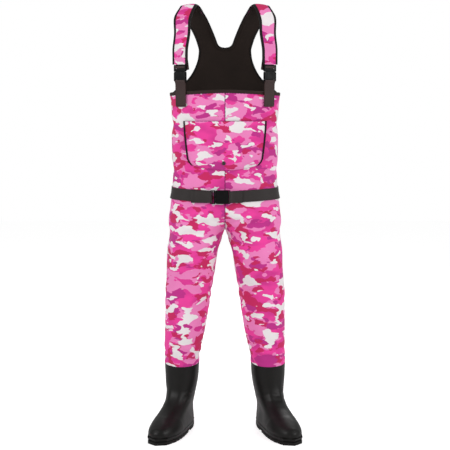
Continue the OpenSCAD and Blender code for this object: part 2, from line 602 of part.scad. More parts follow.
module brace_webbing() color(webbing_black) at_brace() {
  l = brace_ladder_l;
  webbing([[l + 24, 0.6], [l + 2, 0.6], [l - wall - 1.8, 1.3], [l - wall - 2, 7.2],
    [l - wall - slot_w - wall - 2, 7.2], [l - wall - slot_w - wall - 2, -0.6]]);
}
tail_l = 42;
tail_turn = 15;
tail_side = -4;
module brace_tail() color(webbing_black) at_brace()
  translate([brace_ladder_l - 9, tail_side, -2.7]) rotate([0, 0, -tail_turn]) rotate([0, 9, 0])
    translate([0, -webbing_w / 2, 0]) cube([tail_l, webbing_w, webbing_t]);
module brace_socket_left() brace_socket();
module brace_socket_right() right_side() brace_socket();
module brace_ladder_left() brace_ladder();
module brace_ladder_right() right_side() brace_ladder();
module brace_prong_left_outer() brace_prong(-1);
module brace_prong_left_inner() brace_prong(1);
module brace_prong_right_outer() right_side() brace_prong(-1);
module brace_prong_right_inner() right_side() brace_prong(1);
module brace_anchor_left() brace_anchor();
module brace_anchor_right() right_side() brace_anchor();
module brace_webbing_left() brace_webbing();
module brace_webbing_right() right_side() brace_webbing();
module brace_tail_left() brace_tail();
module brace_tail_right() right_side() brace_tail();

// ---- boots: toes towards -Y in their own frame, then turned outwards
boot_cols = 28;
boot_rows = 26;
function boot_row(i) = sole_t + (boot_h - sole_t) * (i / boot_rows)^1.25;
function boot_point(z, a, off) =
  let (
    f = along(BOOT, z, 1) + off,
    b = along(BOOT, z, 2) + off,
    w = along(BOOT, z, 3) + off,
    foot = ease((130 - z) / 70),
    r = rim(a, w, (f + b) / 2, 2.1 + 0.5 * foot)
  )
  [r * cos(a) * (1 + 0.1 * foot * sin(a)), (b - f) / 2 - r * sin(a), z];
function boot_outline(z, off) = [for (j = [0:boot_cols - 1])
  let (p = boot_point(z, 360 * j / boot_cols, off)) [p[0], p[1]]];
module at_boot() suit_frame() translate([stance_w / 2, 0, 0]) rotate([0, 0, splay]) children();
module boot_ring(rows, outer, inner) {
  function grid(off) = [for (z = rows) [for (j = [0:boot_cols - 1]) boot_point(z, -360 * j / boot_cols, off)]];
  mirror([1, 0, 0]) slab(grid(outer), grid(inner), true);
}
module boot_upper() color(rubber) at_boot()
  boot_ring([for (i = [0:boot_rows]) boot_row(i)], 0, -rubber_t);
module boot_foxing() color(rubber) at_boot()
  boot_ring([for (i = [0:4]) sole_t + foxing_h * i / 4], foxing_t, seat_gap);
module boot_sole() color(rubber) at_boot() difference() {
  linear_extrude(sole_t) polygon(boot_outline(sole_t + 6, foxing_t));
  translate([-boot_w, -toe_reach + 178, -1]) cube([2 * boot_w, 26, 6]);
  for (i = [0:6]) translate([-boot_w, -toe_reach + 22 + 23 * i, -1]) cube([2 * boot_w, 5, 4]);
  for (i = [0:2]) translate([-boot_w, -toe_reach + 225 + 20 * i, -1]) cube([2 * boot_w, 4.5, 4]);
}
module boot_insole() color(lining) at_boot() translate([0, 0, sole_t]) linear_extrude(4)
  polygon(boot_outline(sole_t, -rubber_t - 0.3));
module boot_upper_left() boot_upper();
module boot_upper_right() right_side() boot_upper();
module boot_foxing_left() boot_foxing();
module boot_foxing_right() right_side() boot_foxing();
module boot_sole_left() boot_sole();
module boot_sole_right() right_side() boot_sole();
module boot_insole_left() boot_insole();
module boot_insole_right() right_side() boot_insole();

// ---- the whole suit is centred between its toes and its back
foxing_t = 1.5;
turned = [for (z = [sole_t:foxing_h / 4:sole_t + foxing_h]) for (p = boot_outline(z, foxing_t))
  p[1] * cos(splay) + p[0] * sin(splay)];
foot_front = -min(turned);
belt_back = along(BODY, belt_mid(-90) - webbing_w / 2 - 0.6, 3) + belt_off + webbing_t * 2 + seat_gap + 0.15;
suit_back = max(belt_back, max([for (z = [belt_h:10:bib_h]) along(BODY, z, 3)]));
y_shift = (foot_front - suit_back) / 2;

front_panel_left();
front_panel_right();
back_panel_left();
back_panel_right();
back_yoke_left();
back_yoke_right();
bib_binding();
neckline_binding();
armhole_binding_left();
armhole_binding_right();
front_seam_tape();
back_seam_tape();
chest_pocket();
pocket_binding_left();
pocket_binding_right();
snap_cap();
snap_socket();
snap_stud();
belt_webbing();
belt_strap_end();
belt_socket();
belt_socket_loop();
belt_ladder();
belt_prong_upper();
belt_prong_lower();
belt_loop_middle();
belt_loop_left();
belt_loop_right();
shoulder_strap_left();
shoulder_strap_right();
strap_binding_left();
strap_binding_right();
brace_webbing_left();
brace_webbing_right();
brace_tail_left();
brace_tail_right();
brace_ladder_left();
brace_ladder_right();
brace_socket_left();
brace_socket_right();
brace_prong_left_inner();
brace_prong_left_outer();
brace_prong_right_inner();
brace_prong_right_outer();
brace_anchor_left();
brace_anchor_right();
boot_upper_left();
boot_upper_right();
boot_foxing_left();
boot_foxing_right();
boot_sole_left();
boot_sole_right();
boot_insole_left();
boot_insole_right();
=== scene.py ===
# %% [markdown]
# # Chest waders, rebuilt piece by piece
# A pair of bootfoot chest waders is a waterproof neoprene suit that ends in rubber boots. It hangs from
# two padded braces, and a webbing belt closes it at the waist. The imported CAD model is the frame: it says
# where each piece is. This script turns the plain CAD shapes into sewn neoprene, webbing, moulded plastic
# and rubber, and never moves or changes the CAD itself.

# %% Load the frame
import json
import math
import bpy
import bmesh
import numpy as np
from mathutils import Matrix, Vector, noise
from mathutils.kdtree import KDTree

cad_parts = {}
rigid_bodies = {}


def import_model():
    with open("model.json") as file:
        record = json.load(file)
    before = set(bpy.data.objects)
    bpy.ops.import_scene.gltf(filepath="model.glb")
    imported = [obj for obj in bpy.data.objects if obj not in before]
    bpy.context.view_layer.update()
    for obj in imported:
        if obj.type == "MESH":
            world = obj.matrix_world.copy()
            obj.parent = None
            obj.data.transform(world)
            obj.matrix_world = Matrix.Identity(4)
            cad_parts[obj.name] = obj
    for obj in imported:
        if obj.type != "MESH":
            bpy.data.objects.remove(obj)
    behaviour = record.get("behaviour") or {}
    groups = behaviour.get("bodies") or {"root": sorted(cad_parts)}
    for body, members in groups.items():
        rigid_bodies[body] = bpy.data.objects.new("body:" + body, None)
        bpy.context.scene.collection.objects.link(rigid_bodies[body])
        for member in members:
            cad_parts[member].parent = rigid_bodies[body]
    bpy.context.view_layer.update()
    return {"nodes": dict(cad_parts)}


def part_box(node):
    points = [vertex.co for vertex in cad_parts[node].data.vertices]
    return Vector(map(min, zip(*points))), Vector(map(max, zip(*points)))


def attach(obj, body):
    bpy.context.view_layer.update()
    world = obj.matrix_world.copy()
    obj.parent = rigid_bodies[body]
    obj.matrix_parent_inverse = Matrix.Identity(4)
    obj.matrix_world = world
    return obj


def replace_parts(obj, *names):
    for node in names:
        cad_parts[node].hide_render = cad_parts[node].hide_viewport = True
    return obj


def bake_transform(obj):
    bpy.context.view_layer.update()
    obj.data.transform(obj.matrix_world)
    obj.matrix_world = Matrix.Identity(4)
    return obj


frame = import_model()
nodes = frame["nodes"]

# %% [markdown]
# ## Places that the later steps share
# All sizes come from the boxes of CAD nodes, so the looks follow the model when it changes. `mid_y` is
# the depth of the body's middle plane, and the heights of the belt, the boot rims, the crotch and the
# bib's top edge tell the cloth where it is held and where it may crease.

# %% Read the places
SIDES = {"left": 1, "right": -1}
belt_low, belt_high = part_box("belt_webbing")
mid_y = (belt_low.y + belt_high.y) / 2
belt_z = (belt_low.z + belt_high.z) / 2
rim_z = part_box("boot_upper_left")[1].z
bib_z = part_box("back_panel_left")[1].z
rim_points = [v.co.x for v in nodes["boot_upper_left"].data.vertices if v.co.z > rim_z - 0.002]
shaft_x = (min(rim_points) + max(rim_points)) / 2
shaft_half = (max(rim_points) - min(rim_points)) / 2
crotch_z = 0.661  # where the legs' inner seams meet; no node ends there
pocket_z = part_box("chest_pocket")[1].z
top_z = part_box("shoulder_strap_left")[1].z
print(f"middle plane y {mid_y:.4f}, belt {belt_z:.3f}, boot rim {rim_z:.3f}, bib {bib_z:.3f}")
print(f"shaft at x {shaft_x:.4f}, half its width {shaft_half:.4f}, shoulders {top_z:.3f}")

# %% [markdown]
# ## The camera
# A catalogue view like this is taken from a few metres away, with a long lens, at chest height and
# tipped down a little, so that the soles are seen from above. A long lens keeps the suit's sides nearly
# upright.

# %% Make the camera
camera_data = bpy.data.cameras.new("front_camera")
camera_data.sensor_width = 36
camera_data.lens = 87.12
camera = bpy.data.objects.new("front_camera", camera_data)
bpy.context.scene.collection.objects.link(camera)
camera_distance = 3.6
camera_height = 1.059
camera_tip = math.radians(5.95)
camera.location = (0.0, mid_y - camera_distance, camera_height)
camera.rotation_euler = (math.radians(90) - camera_tip, 0, 0)
bpy.context.scene.camera = camera
print("camera: lens", round(camera_data.lens, 1), "mm")

# %% [markdown]
# ## Working tools
# Hand work in Blender is: select one object, go into edit mode, run operators on what is selected, come
# back. `worked` does that, `modified` adds a modifier and applies it, and `paint` gives a mesh its
# material slots.

# %% Working tools
def alone(obj):
    bpy.ops.object.select_all(action="DESELECT")
    obj.select_set(True)
    bpy.context.view_layer.objects.active = obj
    return obj


def worked(obj, *steps):
    alone(obj)
    bpy.ops.object.mode_set(mode="EDIT")
    bpy.ops.mesh.select_mode(type="FACE")
    bpy.ops.mesh.select_all(action="SELECT")
    for operator, settings in steps:
        operator(**settings)
    bpy.ops.object.mode_set(mode="OBJECT")
    return obj


def modified(obj, kind, **settings):
    alone(obj)
    modifier = obj.modifiers.new(kind.title(), kind)
    for key, value in settings.items():
        setattr(modifier, key, value)
    bpy.ops.object.modifier_apply(modifier=modifier.name)
    return obj


def paint(obj, *materials):
    obj.data.materials.clear()
    for material in materials:
        obj.data.materials.append(material)
    return obj


# %% [markdown]
# ## Copies of CAD pieces
# A CAD mesh arrives as loose triangles. A copy is merged into one connected mesh, and pairs of triangles
# are joined into quads, because subdivision and bevels run evenly only over quads. `skin_of` keeps just
# the outer face of a sheet: it groups faces that meet at less than a sharp angle and keeps the largest
# group. A sheet is subdivided as that one skin and gets its thickness last, so both faces stay parallel.

# %% Copy and skin tools
def copy_of(node, name):
    mesh = nodes[node].data.copy()
    mesh.name = name
    obj = bpy.data.objects.new(name, mesh)
    bpy.context.scene.collection.objects.link(obj)
    alone(obj)
    bpy.ops.mesh.customdata_custom_splitnormals_clear()
    mesh.materials.clear()
    return worked(
        obj,
        (bpy.ops.mesh.remove_doubles, dict(threshold=2e-5)),
        (bpy.ops.mesh.tris_convert_to_quads, dict(face_threshold=0.7, shape_threshold=1.2)),
    )


def skin_of(node, name, sharp=48, centre=None):
    """The outer skin of a sheet: its largest smooth group of faces, or the one that faces away from a point."""
    obj = copy_of(node, name)
    bm = bmesh.new()
    bm.from_mesh(obj.data)
    bm.normal_update()
    left, groups = set(bm.faces), []
    while left:
        group, todo = set(), [left.pop()]
        while todo:
            face = todo.pop()
            group.add(face)
            for edge in face.edges:
                if len(edge.link_faces) == 2 and edge.calc_face_angle() < math.radians(sharp):
                    for other in edge.link_faces:
                        if other in left:
                            left.remove(other)
                            todo.append(other)
        groups.append(group)


    def looks_outwards(face):
        return face.normal.dot((face.calc_center_median() - centre).normalized()) if centre else 1

    keep = max(groups, key=lambda group: sum(face.calc_area() * looks_outwards(face) for face in group))
    bmesh.ops.delete(bm, geom=[f for f in bm.faces if f not in keep], context="FACES")
    bm.to_mesh(obj.data)
    bm.free()
    return obj


def let_out(obj, allowance):
    """Lets a sheet's open edges out by a seam allowance, so that the tape round them has cloth inside it."""
    bm = bmesh.new()
    bm.from_mesh(obj.data)
    moves = {}
    near_middle = 0.004
    for vertex in bm.verts:
        if vertex.is_boundary and abs(vertex.co.x) > near_middle:
            centres = [face.calc_center_median() for face in vertex.link_faces]
            inner = sum(centres, Vector()) / len(centres)
            edges = [edge for edge in vertex.link_edges if edge.is_boundary]
            along = sum(((edge.other_vert(vertex).co - vertex.co).normalized() for edge in edges), Vector())
            away = (vertex.co - inner).normalized() - 0.5 * along
            moves[vertex] = away.normalized() * allowance
    for vertex, move in moves.items():
        vertex.co += move
    bm.to_mesh(obj.data)
    bm.free()
    return obj


def subdivided(obj, levels):
    modified(obj, "SUBSURF", levels=levels, render_levels=levels, boundary_smooth="PRESERVE_CORNERS")
    obj.data.shade_smooth()
    return obj


def softened(node, name, width, *materials, segments=2, angle=35):
    """A copy of a hard piece with small rounded edges, which catch the light as moulded edges do."""
    obj = copy_of(node, name)
    modified(obj, "BEVEL", width=width, segments=segments, limit_method="ANGLE",
             angle_limit=math.radians(angle), use_clamp_overlap=True, harden_normals=False)
    alone(obj)
    bpy.ops.object.shade_smooth_by_angle(angle=math.radians(32))
    return paint(obj, *materials)


print("tools ready")

# %% [markdown]
# ## Colour and node helpers
# Colours are picked as sRGB hex values, as in any paint program, and one function turns them to the
# linear values that the renderer needs. `add` puts one node into a tree, with its settings and its links.

# %% Colour and node helpers
def linear(hex_value):
    parts = [int(hex_value[i:i + 2], 16) / 255 for i in (1, 3, 5)]
    return tuple(c / 12.92 if c <= 0.04045 else ((c + 0.055) / 1.055) ** 2.4 for c in parts) + (1.0,)


def add(tree, kind, links=(), **settings):
    node = tree.nodes.new(kind)
    for key, value in settings.items():
        if key.startswith("in_"):
            socket = key[3:]
            node.inputs[int(socket) if socket.isdigit() else socket.replace("_", " ")].default_value = value
        else:
            setattr(node, key, value)
    for socket, source in links:
        tree.links.new(source, node.inputs[socket])
    return node


def new_material(name):
    material = bpy.data.materials.new(name)
    material.use_nodes = True
    tree = material.node_tree
    shader = tree.nodes["Principled BSDF"]
    return material, tree, shader


def shaded(colour, factor):
    """A linear colour made darker or lighter by a factor."""
    return [min(1, channel * factor) for channel in linear(colour)[:3]] + [1.0]


print("linear pink:", [round(c, 3) for c in linear("#EC3FA0")])

# %% [markdown]
# ## Camouflage neoprene
# Wader neoprene is a foam rubber sheet with polyester jersey laminated to its faces. The outer jersey is
# printed by heat transfer with a camouflage of five inks: white, light pink, hot pink, magenta and
# crimson. An image could hold the print, but here each ink is a layer of noise cut at a level, so it has
# no seams and no stretching. The space is squeezed in height, so the shapes lie wider than tall, and is
# warped by a finer noise, so that their edges are jagged. Each panel is cut from another part of the
# cloth, so each has its own offset. The wales of the knit are drawn 2.4 mm apart, about twice as coarse
# as they are, so that they show at all. The panels carry an attribute, `seam`, the distance to their
# nearest edge: it draws the sewn groove as a bump, with painted shade that darkens the colour along it.

# %% Camouflage neoprene
INKS = {"hot": "#F0409F", "deep": "#D5348F", "light": "#F084C0",
        "magenta": "#C22F8A", "crimson": "#CB2461", "white": "#EFE8EA"}
FLATTENED = 1.9


def camouflage(name, shift, seams=True):
    material, tree, shader = new_material(name)
    place = add(tree, "ShaderNodeTexCoord").outputs["Object"]
    flat = add(tree, "ShaderNodeMapping", [("Vector", place)], in_Location=shift,
               in_Scale=(1, 1, FLATTENED)).outputs[0]
    # the warp: shifts of up to 20 mm that change every 50 mm, then two finer ones for the jagged edges
    cloth = flat
    for scale, reach in ((21, 0.040), (62, 0.017), (140, 0.004)):
        wobble = add(tree, "ShaderNodeTexNoise", [("Vector", cloth)], in_Scale=scale, in_Detail=1.0)
        centred = add(tree, "ShaderNodeVectorMath", [(0, wobble.outputs["Color"])], operation="SUBTRACT",
                      in_1=(0.5, 0.5, 0.5))
        moved = add(tree, "ShaderNodeVectorMath", [(0, centred.outputs[0])], operation="SCALE",
                    in_Scale=reach)
        cloth = add(tree, "ShaderNodeVectorMath", [(0, cloth), (1, moved.outputs[0])],
                    operation="ADD").outputs[0]
    # each ink: noise scale per metre, offset in the noise space, and the level above which it prints
    layers = (("light", 14.0, 3.1, 0.500), ("magenta", 15.5, 11.7, 0.590),
              ("crimson", 17.0, 23.9, 0.585), ("white", 17.5, 37.3, 0.577))
    # hot pink covers the ground, and its ink is laid unevenly
    pool = add(tree, "ShaderNodeTexNoise", [("Vector", flat)], in_Scale=16.0, in_Detail=1.0).outputs["Fac"]
    depth = add(tree, "ShaderNodeMapRange", [("Value", pool)], in_1=0.42, in_2=0.66).outputs[0]
    colour = add(tree, "ShaderNodeMix", [("Factor", depth)], data_type="RGBA",
                 in_6=linear(INKS["hot"]), in_7=linear(INKS["deep"])).outputs[2]
    for ink, scale, offset, level in layers:
        there = add(tree, "ShaderNodeVectorMath", [(0, cloth)], operation="ADD",
                    in_1=(offset, -offset, offset * 0.5))
        blotch = add(tree, "ShaderNodeTexNoise", [("Vector", there.outputs[0])], in_Scale=scale,
                     in_Detail=1.3, in_Roughness=0.5)
        cut = add(tree, "ShaderNodeMapRange", [("Value", blotch.outputs["Fac"])], in_1=level - 0.004,
                  in_2=level + 0.004)
        colour = add(tree, "ShaderNodeMix", [("Factor", cut.outputs[0]), (6, colour)], data_type="RGBA",
                     in_7=linear(INKS[ink])).outputs[2]
    # uneven ink and the faint greying of jersey that has been stretched over a form
    cloudy = add(tree, "ShaderNodeTexNoise", [("Vector", place)], in_Scale=9.0, in_Detail=3.0)
    shade = add(tree, "ShaderNodeMapRange", [("Value", cloudy.outputs["Fac"])], in_1=0.3, in_2=0.7, in_3=0.93,
                in_4=1.03)
    colour = add(tree, "ShaderNodeVectorMath", [(0, colour), ("Scale", shade.outputs[0])],
                 operation="SCALE").outputs[0]
    knit = add(tree, "ShaderNodeTexWave", [("Vector", place)], wave_type="BANDS", bands_direction="X",
               in_Scale=130.0, in_Distortion=1.5, in_Detail=1.0).outputs["Fac"]
    fuzz = add(tree, "ShaderNodeTexNoise", [("Vector", place)], in_Scale=900.0, in_Detail=1.0).outputs["Fac"]
    normal = add(tree, "ShaderNodeBump", [("Height", knit)], in_Strength=0.12, in_Distance=0.0003).outputs[0]
    normal = add(tree, "ShaderNodeBump", [("Height", fuzz), ("Normal", normal)], in_Strength=0.15,
                 in_Distance=0.0003).outputs[0]
    if seams:
        distance = add(tree, "ShaderNodeAttribute", attribute_name="seam").outputs["Fac"]
        groove_and_painted_shade = add(tree, "ShaderNodeMapRange", [("Value", distance)], interpolation_type="SMOOTHSTEP",
                     in_1=0.0004, in_2=0.0028).outputs[0]
        # painted shade: the colour darkens to a dark purple in the seam groove, where shade falls
        colour = add(tree, "ShaderNodeMix", [("Factor", groove_and_painted_shade), (7, colour)], data_type="RGBA",
                     in_6=linear("#5E1A4A")).outputs[2]
        normal = add(tree, "ShaderNodeBump", [("Height", groove_and_painted_shade), ("Normal", normal)], in_Strength=0.6,
                     in_Distance=0.0012).outputs[0]
    tree.links.new(normal, shader.inputs["Normal"])
    tree.links.new(colour, shader.inputs["Base Color"])
    shader.inputs["Roughness"].default_value = 0.82
    shader.inputs["Specular IOR Level"].default_value = 0.3
    shader.inputs["Sheen Weight"].default_value = 0.08
    shader.inputs["Sheen Roughness"].default_value = 0.5
    return material


camo_front = {"left": camouflage("printed_jersey_front_left", (0.31, 0.12, 0.47)),
              "right": camouflage("printed_jersey_front_right", (2.77, 0.9, 1.63))}
camo_back = {"left": camouflage("printed_jersey_back_left", (5.1, 1.7, 0.2)),
             "right": camouflage("printed_jersey_back_right", (7.9, 3.1, 2.4))}
camo_pocket = camouflage("printed_jersey_pocket", (11.2, 0.4, 3.3))
camo_yoke = {"left": camouflage("printed_jersey_yoke_left", (13.4, 2.2, 1.1)),
             "right": camouflage("printed_jersey_yoke_right", (15.8, 0.6, 2.9))}
camo_strap = {"left": camouflage("printed_jersey_strap_left", (18.3, 1.3, 0.7), seams=False),
              "right": camouflage("printed_jersey_strap_right", (21.6, 2.5, 1.9), seams=False)}
print("camouflage cloths:", len([m for m in bpy.data.materials if m.name.startswith("printed")]))

# %% [markdown]
# ## Plain dark cloths
# The inside of the suit is brushed black-brown jersey: soft, matt, with a little sheen along its
# turned-away parts. The edges are bound with folded nylon-spandex tape, which is smoother and a touch
# shinier.

# %% Lining and binding
def dark_jersey(name, colour, wale_scale, roughness, sheen):
    material, tree, shader = new_material(name)
    place = add(tree, "ShaderNodeTexCoord").outputs["Object"]
    cloudy = add(tree, "ShaderNodeTexNoise", [("Vector", place)], in_Scale=22.0, in_Detail=4.0).outputs["Fac"]
    tint = add(tree, "ShaderNodeMix", [("Factor", cloudy)], data_type="RGBA",
               in_6=shaded(colour, 0.75), in_7=shaded(colour, 1.35)).outputs[2]
    tree.links.new(tint, shader.inputs["Base Color"])
    wale = add(tree, "ShaderNodeTexWave", [("Vector", place)], wave_type="BANDS", bands_direction="Z",
               in_Scale=wale_scale, in_Distortion=2.0, in_Detail=1.0).outputs["Fac"]
    fuzz = add(tree, "ShaderNodeTexNoise", [("Vector", place)], in_Scale=700.0, in_Detail=2.0).outputs["Fac"]
    normal = add(tree, "ShaderNodeBump", [("Height", wale)], in_Strength=0.2, in_Distance=0.0003).outputs[0]
    normal = add(tree, "ShaderNodeBump", [("Height", fuzz), ("Normal", normal)], in_Strength=0.35,
                 in_Distance=0.0004).outputs[0]
    tree.links.new(normal, shader.inputs["Normal"])
    shader.inputs["Roughness"].default_value = roughness
    shader.inputs["Specular IOR Level"].default_value = 0.25
    shader.inputs["Sheen Weight"].default_value = sheen
    shader.inputs["Sheen Roughness"].default_value = 0.45
    return material


brushed_lining = dark_jersey("brushed_jersey_lining", "#271E1A", 120.0, 0.92, 0.04)
folded_tape = dark_jersey("folded_nylon_binding_tape", "#120D0D", 260.0, 0.75, 0.02)
bib_tape = dark_jersey("folded_nylon_bib_tape", "#2E211E", 260.0, 0.8, 0.03)
print("dark cloths ready")

# %% [markdown]
# ## Webbing
# Belts and braces are 38 mm polypropylene webbing, woven with ribs along its length and crossed by finer
# picks. The ribs are drawn 3 mm apart and the picks 1.3 mm, coarser than they are, so that they show. The
# yarn is filament, so it is slightly glossy. The ribs follow the strap: `turn` is the strap's heading
# about the upright axis, and `upright` says whether it runs up and down.

# %% Webbing
def ribbed_webbing(name, colour, upright, turn=0.0):
    material, tree, shader = new_material(name)
    place = add(tree, "ShaderNodeTexCoord").outputs["Object"]
    turned = add(tree, "ShaderNodeMapping", [("Vector", place)], in_Rotation=(0, 0, turn)).outputs[0]
    across, along = ("X", "Z") if upright else ("Z", "X")
    ribs = add(tree, "ShaderNodeTexWave", [("Vector", turned)], wave_type="BANDS", bands_direction=across,
               in_Scale=105.0, in_Distortion=0.15, in_Detail=0.0).outputs["Fac"]
    picks = add(tree, "ShaderNodeTexWave", [("Vector", turned)], wave_type="BANDS", bands_direction=along,
                in_Scale=240.0, in_Distortion=0.3, in_Detail=0.0).outputs["Fac"]
    # painted shade: the colour is darkened to 0.55 in the valleys between the ribs, where shade falls
    tint = add(tree, "ShaderNodeMix", [("Factor", ribs)], data_type="RGBA",
               in_6=shaded(colour, 0.55), in_7=linear(colour)).outputs[2]
    tree.links.new(tint, shader.inputs["Base Color"])
    normal = add(tree, "ShaderNodeBump", [("Height", ribs)], in_Strength=0.6, in_Distance=0.0005).outputs[0]
    normal = add(tree, "ShaderNodeBump", [("Height", picks), ("Normal", normal)], in_Strength=0.35,
                 in_Distance=0.0003).outputs[0]
    tree.links.new(normal, shader.inputs["Normal"])
    shader.inputs["Roughness"].default_value = 0.62
    shader.inputs["IOR"].default_value = 1.49
    shader.inputs["Sheen Weight"].default_value = 0.03
    return material


belt_weave = ribbed_webbing("woven_polypropylene_belt", "#221817", upright=False)
strap_turn = math.radians(33)
brace_weave = {}
for side, sign in SIDES.items():
    name = "woven_polypropylene_brace_" + side
    brace_weave[side] = ribbed_webbing(name, "#371F1C", True, -strap_turn * sign)
print("webbing ready")

# %% [markdown]
# ## Hard finishes
# The buckles are injection-moulded acetal: hard, dark, with a fine spark-eroded texture and a soft gloss.
# The snap is painted brass, worn through in a few specks. The boots are vulcanised rubber, pressed in a
# polished mould and a little dusty, so the gloss breaks up over the surface; the soles are the same
# rubber, but rougher.

# %% Acetal, brass and rubber
def moulded_acetal(name, colour):
    material, tree, shader = new_material(name)
    place = add(tree, "ShaderNodeTexCoord").outputs["Object"]
    grain = add(tree, "ShaderNodeTexNoise", [("Vector", place)], in_Scale=1400.0,
                in_Detail=2.0).outputs["Fac"]
    rub = add(tree, "ShaderNodeTexNoise", [("Vector", place)], in_Scale=60.0, in_Detail=4.0).outputs["Fac"]
    gloss = add(tree, "ShaderNodeMapRange", [("Value", rub)], in_1=0.3, in_2=0.7, in_3=0.36,
                in_4=0.52).outputs[0]
    tree.links.new(gloss, shader.inputs["Roughness"])
    tint = add(tree, "ShaderNodeMix", [("Factor", rub)], data_type="RGBA",
               in_6=shaded(colour, 0.8), in_7=linear(colour)).outputs[2]
    tree.links.new(tint, shader.inputs["Base Color"])
    normal = add(tree, "ShaderNodeBump", [("Height", grain)], in_Strength=0.12, in_Distance=0.0002).outputs[0]
    tree.links.new(normal, shader.inputs["Normal"])
    shader.inputs["IOR"].default_value = 1.48
    shader.inputs["Specular IOR Level"].default_value = 0.18
    return material


def vulcanised_rubber(name, colour, roughness, dust):
    material, tree, shader = new_material(name)
    place = add(tree, "ShaderNodeTexCoord").outputs["Object"]
    cloudy = add(tree, "ShaderNodeTexNoise", [("Vector", place)], in_Scale=14.0, in_Detail=6.0,
                 in_Roughness=0.62).outputs["Fac"]
    pores = add(tree, "ShaderNodeTexNoise", [("Vector", place)], in_Scale=420.0, in_Detail=2.0).outputs["Fac"]
    level = add(tree, "ShaderNodeMapRange", [("Value", cloudy)], in_1=0.3, in_2=0.72, in_3=roughness - 0.07,
                in_4=roughness + 0.1).outputs[0]
    tree.links.new(level, shader.inputs["Roughness"])
    tint = add(tree, "ShaderNodeMix", [("Factor", cloudy)], data_type="RGBA",
               in_6=linear(colour), in_7=linear(dust)).outputs[2]
    tree.links.new(tint, shader.inputs["Base Color"])
    normal = add(tree, "ShaderNodeBump", [("Height", cloudy)], in_Strength=0.12,
                 in_Distance=0.0012).outputs[0]
    normal = add(tree, "ShaderNodeBump", [("Height", pores), ("Normal", normal)], in_Strength=0.1,
                 in_Distance=0.0003).outputs[0]
    tree.links.new(normal, shader.inputs["Normal"])
    shader.inputs["IOR"].default_value = 1.46
    shader.inputs["Specular IOR Level"].default_value = 0.30
    return material


acetal = moulded_acetal("moulded_acetal_buckle", "#030304")
boot_rubber = vulcanised_rubber("vulcanised_rubber_boot", "#060504", 0.42, "#100D0B")
sole_rubber = vulcanised_rubber("vulcanised_rubber_sole", "#060504", 0.6, "#0F0D0B")

brass, tree, shader = new_material("painted_brass_snap")
place = add(tree, "ShaderNodeTexCoord").outputs["Object"]
chips = add(tree, "ShaderNodeTexNoise", [("Vector", place)], in_Scale=900.0, in_Detail=3.0).outputs["Fac"]
bare = add(tree, "ShaderNodeMapRange", [("Value", chips)], in_1=0.6, in_2=0.68).outputs[0]
tint = add(tree, "ShaderNodeMix", [("Factor", bare)], data_type="RGBA",
           in_6=linear("#2B2023"), in_7=linear("#6B5A4A")).outputs[2]
tree.links.new(tint, shader.inputs["Base Color"])
tree.links.new(bare, shader.inputs["Metallic"])
shader.inputs["Roughness"].default_value = 0.36
print("hard finishes ready")

# %% [markdown]
# ## The body: one skin of four panels
# The real suit is cut as four neoprene panels, two in front and two behind, that meet in seams down the
# front, the back and the inside of the legs. Modelled apart, their edges would drift from each other when
# they are simulated. So the four skins are joined into one pair of trousers first, settled as cloth,
# creased, and only then cut apart again by their materials, each panel with its own cloth.

# %% Join the four skins
PANELS = {"front_panel_left": camo_front["left"], "front_panel_right": camo_front["right"],
          "back_panel_left": camo_back["left"], "back_panel_right": camo_back["right"]}
skins = [paint(skin_of(node, node + "_skin"), cloth) for node, cloth in PANELS.items()]
bpy.ops.object.select_all(action="DESELECT")
for skin in skins:
    skin.select_set(True)
bpy.context.view_layer.objects.active = skins[0]
bpy.ops.object.join()
body = worked(skins[0], (bpy.ops.mesh.remove_doubles, dict(threshold=1.5e-4)))
bm = bmesh.new()
bm.from_mesh(body.data)


def at_crotch(vertex):
    return abs(vertex.co.x) < 0.03 and abs(vertex.co.z - crotch_z) < 0.06


gusset = [edge for edge in bm.edges if edge.is_boundary and all(at_crotch(vertex) for vertex in edge.verts)]
filled = bmesh.ops.holes_fill(bm, edges=gusset, sides=0)["faces"]
bm.to_mesh(body.data)
print("body skin:", len(bm.faces), "faces, crotch edges", len(gusset), "filled", len(filled))
bm.free()
subdivided(body, 1)

# %% [markdown]
# ## Where the suit is held
# Cloth needs to know what holds it. The suit is tight under the belt, at the bound top edge, inside the
# boot rims, and where the pocket, the brace ends and the inner seam tapes are sewn on. `slack` is 0 there
# and rises to 1 over the free cloth of the legs and the sides of the torso.

# %% Slack
def eased(value, start, end):
    t = np.clip((value - start) / (end - start), 0, 1)
    return t * t * (3 - 2 * t)


def coords(obj):
    flat = np.empty(len(obj.data.vertices) * 3)
    obj.data.vertices.foreach_get("co", flat)
    return flat.reshape(-1, 3)


def normals(obj):
    flat = np.empty(len(obj.data.vertices) * 3)
    obj.data.vertex_normals.foreach_get("vector", flat)
    return flat.reshape(-1, 3)


def place_all(obj, co):
    obj.data.vertices.foreach_set("co", np.ascontiguousarray(co).ravel())
    obj.data.update()


def slack(co):
    x, y, z = co[:, 0], co[:, 1] - mid_y, co[:, 2]
    free = eased(np.abs(z - belt_z), 0.030, 0.075)
    free *= eased(z, rim_z + 0.002, rim_z + 0.03)
    free *= 1 - eased(z, bib_z - 0.075, bib_z - 0.03)
    chest = eased(-y, 0.03, 0.07) * eased(z, belt_z + 0.02, belt_z + 0.05)
    beside_pocket = eased(np.abs(x), 0.145, 0.165) * (1 - eased(z, pocket_z + 0.010, pocket_z + 0.035))
    free *= 1 - chest * (1 - beside_pocket)
    middle = (1 - eased(np.abs(x), 0.012, 0.035)) * eased(z, belt_z - 0.05, belt_z - 0.02)
    return free * (1 - middle)


print("free share of the body:", round(float(slack(coords(body)).mean()), 2))

# %% [markdown]
# ## Settling the cloth
# Blender's Cloth is run for a few frames with a little air pressure and no gravity, as if the suit stood
# filled. The cloth is made slightly larger than its shape, so that it buckles into soft hollows between
# the places that hold it. How far a point may move is capped, because the suit must keep to its pattern
# and clear of its neighbours.

